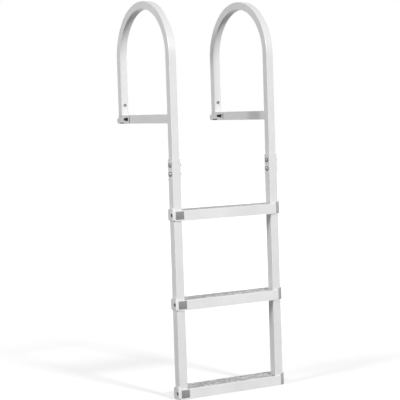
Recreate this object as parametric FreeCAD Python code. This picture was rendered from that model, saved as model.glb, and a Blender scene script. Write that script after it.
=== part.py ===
import FreeCAD, Part
import math
import os

# Dock ladder: two hooped handrails that slide into two side rails, a deck bar along the
# foot of each hoop, and three hollow non-slip steps bolted across the side rails.
# Millimetres. X runs along the steps to the right, Y away from the water, Z up. The
# origin lies on the underside of the left deck bar, midway between the legs of its hoop.

V = FreeCAD.Vector

# Layout
rail_pitch = 388.0          # between the centre lines of the two side rails
hoop_pitch = 362.0          # between the front and the back leg of one hoop
step_pitch = 305.0          # from one step to the next
step_count = 3
rail_above_top_step = 210.0     # from the top step's underside to the side rail's top
deck_above_rail = 121.0     # from the side rail's top to the deck bar's underside
hoop_rise = 422.0           # from the deck bar's underside to the top of the hoop

# Square tubes
rail_side = 31.0
rail_wall = 2.0
slide_gap = 0.25            # each side, between handrail and side rail
handrail_wall = 1.8
handrail_overlap = 80.0     # length of handrail inside its side rail
tube_bevel = 1.6            # flat along the outside corners of every tube
bar_height = 30.0
bar_wall = 2.0
plug_depth = 12.0           # plug in the bottom of a side rail
plug_lip = 3.0

# Foot of each hoop
foot_length = 84.0          # foot block, from the deck bar's end to the leg's back face
foot_edge = 2.0             # rounding along the block
spigot_length = 40.0        # how far the block reaches into the bar and into the leg
spigot_gap = 0.2            # each side
heel_reach = 14.0           # rounded heel behind the leg
heel_height = 21.0
reveal_width = 4.0          # upright groove where the block meets the bar
reveal_depth = 3.0
reveal_height = 21.0
keyhole_front = 12.0        # from the bar's end to the keyhole slot
keyhole_length = 34.0
keyhole_wide = 13.0
keyhole_narrow = 7.0
foot_pad_length = 32.0
foot_pad_thickness = 4.0
foot_pad_inset = 7.0        # from the leg's back face to the pad

# Steps
step_height = 35.0
step_depth = 86.0
step_front_wall = 4.6
step_seat_gap = 0.2         # between the step and the side rails it is bolted to
step_rear_height = 24.0
step_top_wall = 3.0
step_wall = 2.0
step_corner = 2.0
step_web_pitch = 36.0       # between the two upright webs inside
step_bottom_flat = 34.0     # level part of the underside, before it slopes up
groove_count = 12
groove_depth = 1.0
groove_width = 3.2
groove_pitch = 6.2
groove_start = 9.0          # from the front face to the first groove
port_bore = 6.5             # screw port along the inside of the step
port_wall = 2.5
port_forward = 8.0          # from the rail's centre line towards the front
port_height = 20.0          # above the step's underside
inlay_width = 32.0
inlay_height = 28.0
inlay_thickness = 1.6
inlay_border = 3.5          # metal left of the inlay
inlay_rise = 5.0            # metal under the inlay

# Step ends
cap_thickness = 5.0
cap_height = 41.0
cap_lift = 1.5              # from the step's underside to the cap's lower edge
cap_rear_corner = 9.0
cap_front_corner = 5.0
cap_nose = 9.0              # largest rounding of the cap's front corner, seen from above
cap_rear_reach = 1.0        # behind the rail
left_cap_reach = 0.8        # from the rail's outer face inwards, across the front
right_cap_reach = 10.8
return_slant = 0.6          # cut corner of that front part, as a share of its reach
recess_width = 14.0         # round hollow for a bolt head, in line with the screw port
recess_depth = 3.5

# Bolts
hole_gap = 0.25             # each side, round every bolt
joint_bolt_drops = (21.0, 51.0)   # below the side rail's top
joint_bolt_shank = 8.0
joint_bolt_head = 16.0
joint_bolt_head_height = 7.0
nut_across_flats = 13.0
nut_height = 6.5
thread_end = 2.5            # bolt end beyond its nut
overcut = 1.0               # how far a cutting shape runs past the face it cuts

# Worked out from the values above
handrail_side = rail_side - 2 * (rail_wall + slide_gap)
bend_radius = hoop_pitch / 2
front_y = -hoop_pitch / 2
back_y = hoop_pitch / 2
rail_top_z = -deck_above_rail
floor_z = rail_top_z - rail_above_top_step - (step_count - 1) * step_pitch
bend_z = hoop_rise - handrail_side / 2 - bend_radius
foot_back_y = back_y + handrail_side / 2
foot_front_y = foot_back_y - foot_length
step_front_y = front_y - rail_side / 2 - step_seat_gap - step_front_wall
port_y = front_y - port_forward
sides = (("left", 0.0, -1, left_cap_reach), ("right", rail_pitch, 1, right_cap_reach))
step_names = ("bottom", "middle", "top")


def bevelled_rectangle(width, depth, bevel):
    """Closed wire in the XY plane, centred on the Z axis, with its corners cut off."""
    x = width / 2
    y = depth / 2
    points = [V(x, bevel - y, 0), V(x, y - bevel, 0), V(x - bevel, y, 0), V(bevel - x, y, 0),
              V(-x, y - bevel, 0), V(-x, bevel - y, 0), V(bevel - x, -y, 0), V(x - bevel, -y, 0)]
    return Part.makePolygon(points + points[:1])


def tube_section(width, depth, wall):
    """Face of a hollow rectangular tube, in the XY plane."""
    corner = V(wall - width / 2, wall - depth / 2, 0)
    bore = Part.makePlane(width - 2 * wall, depth - 2 * wall, corner)
    return Part.Face(bevelled_rectangle(width, depth, tube_bevel)).cut(bore).Faces[0]


def placed(shape, x, y, z):
    """A copy of the shape, moved."""
    moved = shape.copy()
    moved.translate(V(x, y, z))
    return moved


def block(x0, x1, y0, y1, z0, z1):
    """Box between two opposite corners."""
    return Part.makeBox(x1 - x0, y1 - y0, z1 - z0, V(x0, y0, z0))


def joint_holes(x):
    """Clearance holes along X for the two bolts of the telescoping joint at x."""
    radius = joint_bolt_shank / 2 + hole_gap
    return [Part.makeCylinder(radius, 2 * rail_side, V(x - rail_side, front_y, z), V(1, 0, 0))
            for _, z in joint_levels()]


def step_levels():
    """Names of the steps with the height of each one's underside."""
    return [(step_names[i], floor_z + i * step_pitch) for i in range(step_count)]


def joint_levels():
    """Heights of the bolts through the telescoping joint, named from the top."""
    return [(name, rail_top_z - drop) for name, drop in zip(("upper", "lower"), joint_bolt_drops)]


def side_rail(x):
    """Lower square tube, drilled across for the joint bolts."""
    start = floor_z + plug_lip
    section = placed(tube_section(rail_side, rail_side, rail_wall), x, front_y, start)
    return section.extrude(V(0, 0, rail_top_z - start)).cut(joint_holes(x))


def handrail(x):
    """Square tube bent over a half circle, with a long front leg and a short back leg."""
    section = tube_section(handrail_side, handrail_side, handrail_wall)
    start = rail_top_z - handrail_overlap
    front = placed(section, x, front_y, start).extrude(V(0, 0, bend_z - start))
    bend = placed(section, x, front_y, bend_z).revolve(V(x, 0, bend_z), V(-1, 0, 0), 180)
    back = placed(section, x, back_y, bar_height).extrude(V(0, 0, bend_z - bar_height))
    return front.fuse([bend, back]).removeSplitter().cut(joint_holes(x))


def deck_bar(x):
    """Rectangular tube on the deck, from the front leg to the foot block."""
    section = tube_section(handrail_side, bar_height, bar_wall)
    section.rotate(V(0, 0, 0), V(1, 0, 0), 90)
    start = front_y + handrail_side / 2
    bar = placed(section, x, start, bar_height / 2)
    return bar.extrude(V(0, foot_front_y - start, 0))


def keyhole(x):
    """Slot right through the foot block, wide at the front and narrow at the back."""
    y0 = foot_front_y + keyhole_front
    y1 = y0 + keyhole_length
    z = bar_height / 2
    points = [V(0, y0, z - keyhole_wide / 2), V(0, y1, z - keyhole_narrow / 2),
              V(0, y1, z + keyhole_narrow / 2), V(0, y0, z + keyhole_wide / 2)]
    slot = Part.Face(Part.makePolygon(points + points[:1])).extrude(V(2 * handrail_side, 0, 0))
    return placed(slot, x - handrail_side, 0, 0)


def foot_block(x):
    """Cast block under the back leg, with a heel and spigots into the bar and the leg."""
    half = handrail_side / 2
    body = block(x - half, x + half, foot_front_y, foot_back_y, 0, bar_height)
    body = body.makeFillet(foot_edge, [e for e in body.Edges if e.BoundBox.YLength > foot_edge])
    radius = heel_height / 2
    heel_y = foot_back_y + heel_reach - radius
    heel = Part.makeCylinder(radius, handrail_side, V(x - half, heel_y, radius), V(1, 0, 0))
    neck = block(x - half, x + half, foot_back_y - foot_edge, heel_y, 0, heel_height)
    bore = half - bar_wall - spigot_gap
    into_bar = block(x - bore, x + bore, foot_front_y - spigot_length, foot_front_y + foot_edge,
                     bar_wall + spigot_gap, bar_height - bar_wall - spigot_gap)
    bore = half - handrail_wall - spigot_gap
    into_leg = block(x - bore, x + bore, back_y - bore, back_y + bore,
                     bar_height - foot_edge, bar_height + spigot_length)
    body = body.fuse([heel, neck, into_bar, into_leg]).removeSplitter()
    reveal_z = (bar_height - reveal_height) / 2
    reveals = [block(x + out * half - reveal_depth, x + out * half + reveal_depth, foot_front_y,
                     foot_front_y + reveal_width, reveal_z, reveal_z + reveal_height)
               for out in (-1, 1)]
    return body.cut(reveals + [keyhole(x), foot_pad(x)])


def foot_pad(x):
    """Rubber pad let into the underside of the foot block."""
    half = handrail_side / 2
    rear = foot_back_y - foot_pad_inset
    return block(x - half, x + half, rear - foot_pad_length, rear, 0, foot_pad_thickness)


def rail_plug(x):
    """Plug in the open bottom of a side rail."""
    half = rail_side / 2 - rail_wall - spigot_gap
    lip_top = floor_z + plug_lip
    stem = block(x - half, x + half, front_y - half, front_y + half, lip_top, lip_top + plug_depth)
    lip = placed(Part.Face(bevelled_rectangle(rail_side, rail_side, tube_bevel)), x, front_y, floor_z)
    return stem.fuse(lip.extrude(V(0, 0, plug_lip)))


def step_outline():
    """Closed wire of a step's outer section in the YZ plane, front face at y = 0."""
    d = step_depth
    h = step_height
    r = step_corner
    k = r * (1 - math.sqrt(0.5))
    sides_and_underside = Part.makePolygon([
        V(0, 0, h - r), V(0, 0, 0), V(0, step_bottom_flat, 0), V(0, d, h - step_rear_height),
        V(0, d, h - r)])
    rear = Part.Arc(V(0, d, h - r), V(0, d - k, h - k), V(0, d - r, h)).toShape()
    top = Part.makeLine(V(0, d - r, h), V(0, r, h))
    front = Part.Arc(V(0, r, h), V(0, k, h - k), V(0, 0, h - r)).toShape()
    return Part.Wire(sides_and_underside.Edges + [rear, top, front])


def underside(y):
    """Height of a step's underside above its lowest line, at a distance y from the front."""
    slope = (step_height - step_rear_height) / (step_depth - step_bottom_flat)
    return max(0.0, y - step_bottom_flat) * slope


def step_cell(y0, y1):
    """Face of one hollow of the step's section, between two upright walls."""
    top = step_height - step_top_wall
    stops = [y0] + [y for y in (step_bottom_flat,) if y0 < y < y1] + [y1]
    floor = [V(0, y, underside(y) + step_wall) for y in stops]
    return Part.Face(Part.makePolygon(floor + [V(0, y1, top), V(0, y0, top), floor[0]]))


def step_disc(radius):
    """Round face in the YZ plane, on the axis of the step's screw port."""
    centre = V(0, port_y - step_front_y, port_height)
    return Part.Face(Part.Wire(Part.makeCircle(radius, centre, V(1, 0, 0))))


def step_section():
    """Face of a step's section: ribbed hollow box with a screw port and a grooved top."""
    web = step_wall / 2
    front_web = port_y - step_front_y
    rear_web = front_web + step_web_pitch
    face = Part.Face(step_outline())
    for y0, y1 in ((step_front_wall, front_web - web), (front_web + web, rear_web - web),
                   (rear_web + web, step_depth - step_wall)):
        face = face.cut(step_cell(y0, y1))
    bore = port_bore / 2
    face = face.fuse(step_disc(bore + port_wall)).removeSplitter().cut(step_disc(bore))
    for i in range(groove_count):
        y = groove_start + i * groove_pitch
        groove = Part.makePolygon([V(0, y, step_height), V(0, y + groove_width, step_height),
                                   V(0, y + groove_width / 2, step_height - groove_depth),
                                   V(0, y, step_height)])
        face = face.cut(Part.Face(groove))
    return face.Faces[0]


def step(z):
    """One step: the section run along X, from the left rail's front to behind the right rail."""
    start = left_cap_reach + step_seat_gap - rail_side / 2
    front_end = rail_pitch + rail_side / 2 - right_cap_reach - step_seat_gap
    end = rail_pitch + rail_side / 2
    body = step_section().extrude(V(end - start, 0, 0))
    body.translate(V(start, step_front_y, z))
    inner = rail_side / 2 + step_seat_gap
    wall_back = step_front_y + step_front_wall
    rail_back = front_y + inner
    far = step_front_y + 2 * step_depth
    low = z - overcut
    high = z + step_height + overcut
    notches = [block(start - overcut, inner, wall_back, far, low, high),
               block(rail_pitch - inner, end + overcut, wall_back, rail_back, low, high),
               block(front_end, end + overcut, step_front_y - overcut, rail_back, low, high)]
    return body.cut(notches + [step_inlay(z)])


def step_inlay(z):
    """Dark panel let into the left end of a step's front face."""
    x = left_cap_reach + step_seat_gap - rail_side / 2 + inlay_border
    low = z + inlay_rise
    return block(x, x + inlay_width, step_front_y, step_front_y + inlay_thickness,
                 low, low + inlay_height)


def cap_plan(reach, height):
    """An end cap seen from above, outward along X from the rail's centre, as a solid."""
    near = rail_side / 2 + step_seat_gap
    far = near + cap_thickness
    side = rail_side / 2 - reach
    front = step_front_y - front_y
    rear = rail_side / 2 + cap_rear_reach
    nose = min(cap_nose, cap_thickness + step_seat_gap + reach / 2)
    k = nose * (1 - math.sqrt(0.5))
    straight = Part.makePolygon([
        V(far, front + nose, 0), V(far, rear, 0), V(near, rear, 0),
        V(near, front + step_front_wall, 0), V(side, front + step_front_wall, 0),
        V(side, front, 0), V(far - nose, front, 0)])
    rounding = Part.Arc(V(far - nose, front, 0), V(far - k, front + k, 0), V(far, front + nose, 0))
    outline = Part.Wire(straight.Edges + [rounding.toShape()])
    return Part.Face(outline).extrude(V(0, 0, height))


def cap_side(reach, height):
    """An end cap seen from the side, with its four corners rounded, as a solid."""
    far = rail_side / 2 + step_seat_gap + cap_thickness
    front = step_front_y - front_y
    rear = rail_side / 2 + cap_rear_reach
    plate = block(rail_side / 2 - reach, far, front, rear, 0, height)
    for y, radius in ((front, cap_front_corner), (rear, cap_rear_corner)):
        corners = [e for e in plate.Edges
                   if abs(e.BoundBox.Center.y - y) < overcut and e.BoundBox.XLength > overcut]
        plate = plate.makeFillet(radius, corners)
    return plate


def end_cap(x, out, reach, z):
    """Plastic cap on a rail's outer face, turned round the corner in front of the step."""
    far = rail_side / 2 + step_seat_gap + cap_thickness
    side = rail_side / 2 - reach
    slant = return_slant * reach
    front = step_front_y - front_y - overcut
    wedge = Part.makePolygon([V(side, front, cap_height - slant), V(side + slant, front, cap_height),
                              V(side, front, cap_height), V(side, front, cap_height - slant)])
    wedge = Part.Face(wedge).extrude(V(0, step_front_wall + 2 * overcut, 0))
    recess = Part.makeCylinder(recess_width / 2, recess_depth + overcut,
                               V(far - recess_depth, -port_forward, port_height - cap_lift),
                               V(1, 0, 0))
    cap = cap_plan(reach, cap_height).common(cap_side(reach, cap_height)).cut([wedge, recess])
    cap = cap.Solids[0]
    if out < 0:
        cap = cap.mirror(V(0, 0, 0), V(1, 0, 0))
    return placed(cap, x, front_y, z + cap_lift)


def hexagon(across_flats, height):
    """Six-sided prism on the Z axis, standing on z = 0."""
    radius = across_flats / math.sqrt(3)
    points = [V(radius * math.cos(i * math.pi / 3), radius * math.sin(i * math.pi / 3), 0)
              for i in range(7)]
    return Part.Face(Part.makePolygon(points)).extrude(V(0, 0, height))


def aimed(shape, base, direction):
    """The shape with its Z axis turned along a direction and its foot at the base."""
    turned = shape.copy()
    turned.Placement = FreeCAD.Placement(base, FreeCAD.Rotation(V(0, 0, 1), direction))
    return turned


def joint_bolt(x, z):
    """Round-headed bolt across the telescoping joint, head to the left."""
    head = Part.makeCylinder(joint_bolt_head / 2, joint_bolt_head_height,
                             V(0, 0, -joint_bolt_head_height))
    shank = Part.makeCylinder(joint_bolt_shank / 2, rail_side + nut_height + thread_end)
    return aimed(shank.fuse(head), V(x - rail_side / 2, front_y, z), V(1, 0, 0))


def joint_nut(x, z):
    """Hexagon nut on the right face of a side rail."""
    nut = hexagon(nut_across_flats, nut_height)
    nut = nut.cut(Part.makeCylinder(joint_bolt_shank / 2 + hole_gap, nut_height))
    return aimed(nut, V(x + rail_side / 2, front_y, z), V(1, 0, 0))


def save(name, shape):
    """Write one named piece."""
    shape.exportStep(os.path.join("parts", name + ".step"))


os.makedirs("parts", exist_ok=True)

for side, x, out, reach in sides:
    save(side + "_side_rail", side_rail(x))
    save(side + "_handrail", handrail(x))
    save(side + "_deck_bar", deck_bar(x))
    save(side + "_foot_block", foot_block(x))
    save(side + "_foot_pad", foot_pad(x))
    save(side + "_rail_plug", rail_plug(x))
    for level, z in joint_levels():
        save(side + "_" + level + "_joint_bolt", joint_bolt(x, z))
        save(side + "_" + level + "_joint_nut", joint_nut(x, z))
    for name, z in step_levels():
        save(side + "_" + name + "_end_cap", end_cap(x, out, reach, z))

for name, z in step_levels():
    save(name + "_step", step(z))
    save(name + "_step_inlay", step_inlay(z))
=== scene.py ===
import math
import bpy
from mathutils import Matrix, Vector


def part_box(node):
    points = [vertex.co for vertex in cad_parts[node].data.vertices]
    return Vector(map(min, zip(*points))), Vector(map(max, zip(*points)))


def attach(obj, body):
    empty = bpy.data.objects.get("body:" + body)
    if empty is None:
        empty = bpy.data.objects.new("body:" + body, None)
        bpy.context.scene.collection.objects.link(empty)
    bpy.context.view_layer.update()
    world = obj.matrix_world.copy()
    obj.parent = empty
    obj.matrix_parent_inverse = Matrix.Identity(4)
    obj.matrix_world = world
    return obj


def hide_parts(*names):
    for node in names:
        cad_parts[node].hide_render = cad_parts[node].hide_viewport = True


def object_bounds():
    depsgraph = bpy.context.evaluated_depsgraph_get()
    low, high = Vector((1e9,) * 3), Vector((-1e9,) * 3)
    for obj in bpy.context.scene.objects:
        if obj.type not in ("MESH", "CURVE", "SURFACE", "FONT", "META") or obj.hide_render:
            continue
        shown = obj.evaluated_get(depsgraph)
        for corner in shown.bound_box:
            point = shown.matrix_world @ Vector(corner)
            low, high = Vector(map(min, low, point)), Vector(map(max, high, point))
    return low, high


bl_info = {
    "name": "Dock ladder",
    "version": (1, 0, 0),
    "blender": (4, 5, 0),
    "location": "View3D > Sidebar > Dock ladder",
    "description": "Finished tubes, steps, caps and fasteners of a dock ladder, with a stage",
    "category": "Object",
}

import bmesh
import bpy
import numpy as np
from bpy.props import FloatProperty, FloatVectorProperty, IntProperty, PointerProperty
from mathutils import Matrix, Vector
from mathutils.geometry import tessellate_polygon

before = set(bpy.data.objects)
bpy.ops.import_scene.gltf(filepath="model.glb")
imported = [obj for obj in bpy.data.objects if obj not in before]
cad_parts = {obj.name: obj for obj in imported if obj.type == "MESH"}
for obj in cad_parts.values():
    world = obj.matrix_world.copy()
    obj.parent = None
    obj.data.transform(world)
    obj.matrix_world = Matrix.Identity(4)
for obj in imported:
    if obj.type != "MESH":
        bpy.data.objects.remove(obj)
CAD_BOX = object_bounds()

BODY = "root"
SIDES = ("left", "right")
LEVELS = ("bottom", "middle", "top")
JOINTS = ("lower", "upper")
OUTWARD = {"left": -1, "right": 1}
TURN = 2 * math.pi
SUPPORT = 0.0003    # from a rounding to the next point on the flat beside it
MERGE = 1e-6    # points nearer than this become one
SHARP = math.radians(32)    # faces that meet at a larger angle have a sharp edge
EVEN = (1.0, 1.0, 1.0)    # leaves a pattern unstretched
BEND_POINTS = 73    # points round the bend of a hoop


# Sizes read from the frame, in metres

def middle(node):
    """Centre of a CAD node's box."""
    low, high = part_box(node)
    return (np.array(low) + np.array(high)) / 2


def extent(node):
    """Width, depth and height of a CAD node's box."""
    low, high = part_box(node)
    return np.array(high) - np.array(low)


RAIL_SIDE = extent("left_side_rail")[0]
HANDRAIL_SIDE = extent("left_handrail")[0]
HOOP_LOW, HOOP_HIGH = (np.array(corner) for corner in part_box("left_handrail"))
FRONT_LEG_Y = HOOP_LOW[1] + HANDRAIL_SIDE / 2
BACK_LEG_Y = HOOP_HIGH[1] - HANDRAIL_SIDE / 2
BEND_RADIUS = (BACK_LEG_Y - FRONT_LEG_Y) / 2
BEND_CENTRE_Y = (BACK_LEG_Y + FRONT_LEG_Y) / 2
BEND_Z = HOOP_HIGH[2] - HANDRAIL_SIDE / 2 - BEND_RADIUS
BAR_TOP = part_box("left_deck_bar")[1][2]
RAIL_X = {side: middle(side + "_side_rail")[0] for side in SIDES}
STEP_LOW = {level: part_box(level + "_step")[0][2] for level in LEVELS}
STEP_HEIGHT = extent("top_step")[2]
STEP_DEPTH = extent("top_step")[1]
STEP_FRONT_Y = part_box("top_step")[0][1]
STEP_X = (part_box("top_step")[0][0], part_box("top_step")[1][0])
RAIL_BACK_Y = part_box("right_side_rail")[1][1]
CAP_RETURN_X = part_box("right_top_end_cap")[0][0]


# Settings

def length(name, about, default, high=1.0):
    """A length in metres."""
    return FloatProperty(name=name, description=about, default=default, min=0.0, max=high,
                         subtype="DISTANCE", unit="LENGTH", precision=4)


def position(name, about, default):
    """A place in metres."""
    return FloatVectorProperty(name=name, description=about, default=default, size=3,
                               subtype="TRANSLATION", unit="LENGTH")


def colour(name, about, grey):
    """A linear colour, which starts as a grey."""
    return FloatVectorProperty(name=name, description=about, default=(grey, grey, grey), size=3,
                               min=0.0, max=1.0, subtype="COLOR")


def share(name, about, default):
    """A number from 0 to 1."""
    return FloatProperty(name=name, description=about, default=default, min=0.0, max=1.0,
                         subtype="FACTOR")


def watts(name, about, default):
    """The power of a lamp."""
    return FloatProperty(name=name, description=about, default=default, min=0.0, max=20000.0,
                         unit="POWER")


class LadderTubes(bpy.types.PropertyGroup):
    """Sizes of the square tubes."""
    corner: length("Corner radius", "Outside corner radius of the tubes", 0.0015)
    rail_wall: length("Rail wall", "Wall of the side rails", 0.002)
    handrail_wall: length("Handrail wall", "Wall of the hoops", 0.0018)
    bar_wall: length("Bar wall", "Wall of the deck bars", 0.002)
    bore_corner: length("Bore corner", "Least corner radius of the bores", 0.0004)


class LadderFeet(bpy.types.PropertyGroup):
    """Painted shade in the foot blocks' groove and slot, placed from the ends of the deck bars and
    from the deck.
    """
    reveal: length("Reveal", "Width of the groove between a deck bar and its foot block", 0.004)
    slot_front: length("Slot front", "From the deck bar to the slot through the block", 0.012)
    slot_end: length("Slot end", "From the deck bar to the far end of the slot", 0.046)
    # the groove and slot faces between these two heights get painted shade
    shade_low: length("Dark from", "Height at which the dark faces start", 0.002)
    shade_high: length("Dark to", "Height at which the dark faces end", 0.0185)
    side_margin: length("Side margin", "From the block's sides in to the dark faces", 0.0005)
    end_margin: length("End margin", "How far the dark reaches past both ends", 0.0002)


class LadderEdges(bpy.types.PropertyGroup):
    """Edge roundings of the moulded, cast and cut pieces."""
    panel: length("Panel edges", "Edge rounding of the step panels", 0.0003)
    cap: length("Cap edges", "Edge rounding of the end caps", 0.0006)
    block: length("Block edges", "Edge rounding of the foot blocks", 0.0005)
    pad: length("Pad edges", "Edge rounding of the foot pads", 0.0003)
    plug: length("Plug edges", "Edge rounding of the rail plugs", 0.0005)


class LadderSteps(bpy.types.PropertyGroup):
    """Sizes of the hollow steps."""
    front_wall: length("Front wall", "Thickness behind the flat front face", 0.0046)
    top_wall: length("Top wall", "Thickness under the tread", 0.003)
    wall: length("Wall", "Thickness of the underside, the rear and the webs", 0.002)
    edge: length("Edge radius", "Rounding of the top edges", 0.002)
    notch: length("Notch", "Gap between the step and a side rail", 0.0002)
    flat: length("Level underside", "Level part of the underside, from the front", 0.034)
    rear: length("Rear height", "Height of the step at the back", 0.024)
    front_web: length("Front web", "From the front face to the first upright web", 0.0123)
    web_pitch: length("Web pitch", "Between the two upright webs", 0.036)
    groove_start: length("First groove", "From the front face to the first groove", 0.009)
    groove_pitch: length("Groove pitch", "From one groove to the next", 0.0062)
    groove_width: length("Groove width", "Width of a groove at the top", 0.0032)
    groove_depth: length("Groove depth", "Depth of a groove", 0.001)
    groove_count: IntProperty(name="Grooves", description="Number of grooves", default=12, min=1)
    rib_group: IntProperty(name="Rib group", description="Ribs whose teeth stand in line",
                           default=3, min=1)
    tooth_pitch: length("Tooth pitch", "From one tooth of a rib to the next", 0.0105)
    tooth_depth: length("Tooth depth", "Depth of the cuts across the ribs", 0.0009)


class LadderFasteners(bpy.types.PropertyGroup):
    """Sizes of the bolts, nuts and screws."""
    dome_rim: length("Dome rim", "Upright rim of the round bolt heads", 0.0034)
    shank_edge: length("Shank edge", "Chamfer at the ends of the bolts", 0.0008)
    nut_bore: share("Nut bore", "Bore radius of the nuts and washers for the nuts' width", 0.31)
    washer: length("Washer", "Outside diameter of the washers", 0.0172)
    washer_height: length("Washer thickness", "Thickness of the washers", 0.0012)
    socket_head: length("Cap screw head", "Diameter of the screws in the end caps", 0.0116)
    socket_height: length("Cap screw height", "Height of the screws in the end caps", 0.002)
    socket: length("Socket", "Size across the flats of their sockets", 0.005)
    socket_seat: length("Cap screw seat", "From the side rail out to the cap screws", 0.0017)
    socket_forward: length("Cap screw place", "From the rail's middle to the cap screws", 0.008)
    socket_rise: length("Cap screw rise", "From a step's underside to the cap screws", 0.02)
    leg_head: length("Leg screw head", "Diameter of the screws on the back legs", 0.0116)
    leg_height: length("Leg screw height", "Height of the screws on the back legs", 0.0026)
    leg_socket: share("Leg screw socket", "Size of their sockets for their heads", 0.42)
    leg_rise: length("Leg screw rise", "From the deck bar's top to the leg screw", 0.0355)


class LadderFinish(bpy.types.PropertyGroup):
    """Colours of the finishes."""
    rail: colour("Rail", "Satin aluminium of the tubes", 0.80)
    step: colour("Step", "Satin aluminium of the steps", 0.825)
    # Painted shade: the dark that the grooves and cuts of the treads are painted with, standing in
    # for the shade in them.
    groove: colour("Groove", "Dark of the grooves and cuts in the treads", 0.12)
    casting: colour("Casting", "Aluminium of the foot blocks", 0.74)
    # Painted light: one plastic in a lit copy for the left caps and a shaded copy for the right
    # caps and the rail plugs.
    left_cap: colour("Left cap", "Plastic of the left end caps", 0.87)
    right_cap: colour("Right cap", "Plastic of the right end caps and the rail plugs", 0.44)
    inlay: colour("Inlay", "Dark plastic of the square panels", 0.27)
    rubber: colour("Rubber", "Rubber of the foot pads", 0.06)
    # Painted reflection: the dark steel tone stands in for the dark surroundings that the shiny
    # heads reflect.
    steel: colour("Steel", "Steel of the bolts and the leg screws", 0.22)
    nut_steel: colour("Nut steel", "Bright steel of the nuts and washers", 0.62)
    dark_steel: colour("Dark steel", "Steel of the screws in the caps", 0.07)
    # Painted shade: near black on the groove and slot faces of the foot blocks, standing in for the
    # shade inside them.
    recess: colour("Recess", "Blackened inside of the foot blocks' slots", 0.13)


class LadderStage(bpy.types.PropertyGroup):
    """Camera, lamps, surroundings and floor."""
    camera_place: position("Camera place", "Where the camera stands", (-2.2539, -4.252, 0.0606))
    camera_turn: FloatVectorProperty(name="Camera turn", description="Yaw, pitch down and roll",
                                     size=3, default=(math.radians(30.0), math.radians(3.972),
                                                      math.radians(-1.833)), unit="ROTATION")
    camera_lens: FloatProperty(name="Lens", description="Focal length in mm", default=124.08,
                               min=1.0, unit="CAMERA")
    front_place: position("Front lamp place", "The lamp far in front", (3.8, -27.5, 12.2))
    front_size: length("Front lamp size", "Diameter of the lamp in front", 4.8, high=10.0)
    front_power: watts("Front lamp power", "Power of the lamp in front", 7250.0)
    left_place: position("Left lamp place", "The lamp on the left", (-6.4, -1.55, 2.5))
    left_size: length("Left lamp size", "Diameter of the lamp on the left", 1.6, high=10.0)
    left_power: watts("Left lamp power", "Power of the lamp on the left", 286.0)
    back_place: position("Back lamp place", "The lamp behind on the right", (10.5, 5.5, 7.0))
    back_size: length("Back lamp size", "Diameter of the lamp behind", 2.4, high=10.0)
    back_power: watts("Back lamp power", "Power of the lamp behind", 430.0)
    world: share("Surroundings", "Strength of the light from all round", 0.02)
    floor_reach: length("Floor reach", "From the floor's middle to its sides", 12.0, high=50.0)
    floor_gap: length("Floor gap", "From the ladder's foot down to the floor", 0.001)
    floor_light: share("Floor as light", "Grey of the floor as it lights the ladder", 0.12)
    floor_seen: share("Floor as seen", "Grey of the floor as the camera sees it", 0.5)
    glow: share("Floor glow", "White added to the seen floor round the ladder", 0.66)
    glow_start: length("Glow start", "How far off the glow starts to rise", 1.2, high=50.0)
    glow_end: length("Glow end", "How far off the seen floor is white", 3.2, high=50.0)


# Meshes from arrays

def grid_faces(rows, columns, closed):
    """Quads of a grid of points numbered row by row; closed joins the last column to the first."""
    index = np.arange(rows * columns).reshape(rows, columns)
    ahead = np.roll(index, -1, axis=1)
    last = columns if closed else columns - 1
    return np.stack([index[:-1, :last], ahead[:-1, :last], ahead[1:, :last], index[1:, :last]],
                    axis=-1).reshape(-1, 4)


def placed(name, data):
    """An object of its data, put into the scene."""
    made = bpy.data.objects.new(name, data)
    bpy.context.scene.collection.objects.link(made)
    return made


def add_piece(name, points, faces, material, across=None, tread=None):
    """A mesh object that rides on the part.

    across holds a (u, v) pair in metres per point, tread a share of painted shade from 0 to 1 per
    point.
    """
    mesh = bpy.data.meshes.new(name)
    mesh.from_pydata(points.tolist(), [], [list(face) for face in faces])
    mesh.materials.append(material)
    if across is not None:
        corners = np.empty(len(mesh.loops), dtype=np.int32)
        mesh.loops.foreach_get("vertex_index", corners)
        layer = mesh.uv_layers.new(name="UVMap")
        layer.data.foreach_set("uv", across[corners].astype(np.float32).ravel())
    if tread is not None:
        layer = mesh.attributes.new(name="tread", type="FLOAT", domain="POINT")
        layer.data.foreach_set("value", tread.astype(np.float32))
    piece = placed(name, mesh)
    finish_mesh(piece)
    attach(piece, BODY)
    return piece


def finish_mesh(piece):
    """Merges doubles, turns all faces outward and shades smooth up to a sharp angle."""
    work = bmesh.new()
    work.from_mesh(piece.data)
    bmesh.ops.remove_doubles(work, verts=work.verts, dist=MERGE)
    bmesh.ops.recalc_face_normals(work, faces=work.faces)
    work.to_mesh(piece.data)
    work.free()
    piece.data.shade_smooth()
    piece.data.set_sharp_from_angle(angle=SHARP)


def softened_copy(node, material, rounding):
    """A merged copy of a CAD node with fine rounded edges, which replaces it.

    Triangles that meet at less than a degree become one face first.
    """
    piece = placed(node + "_finished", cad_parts[node].data.copy())
    piece.data.materials.clear()
    piece.data.materials.append(material)
    work = bmesh.new()
    work.from_mesh(piece.data)
    bmesh.ops.remove_doubles(work, verts=work.verts, dist=MERGE)
    bmesh.ops.dissolve_limit(work, angle_limit=math.radians(1), verts=work.verts, edges=work.edges)
    work.to_mesh(piece.data)
    work.free()
    piece.data.shade_smooth()
    edges = piece.modifiers.new("Fine edges", "BEVEL")
    edges.width = rounding
    edges.segments = 2
    edges.limit_method = "ANGLE"
    edges.angle_limit = math.radians(40)
    edges.harden_normals = True
    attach(piece, BODY)
    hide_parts(node)
    return piece


# Profiles and sweeps

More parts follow.
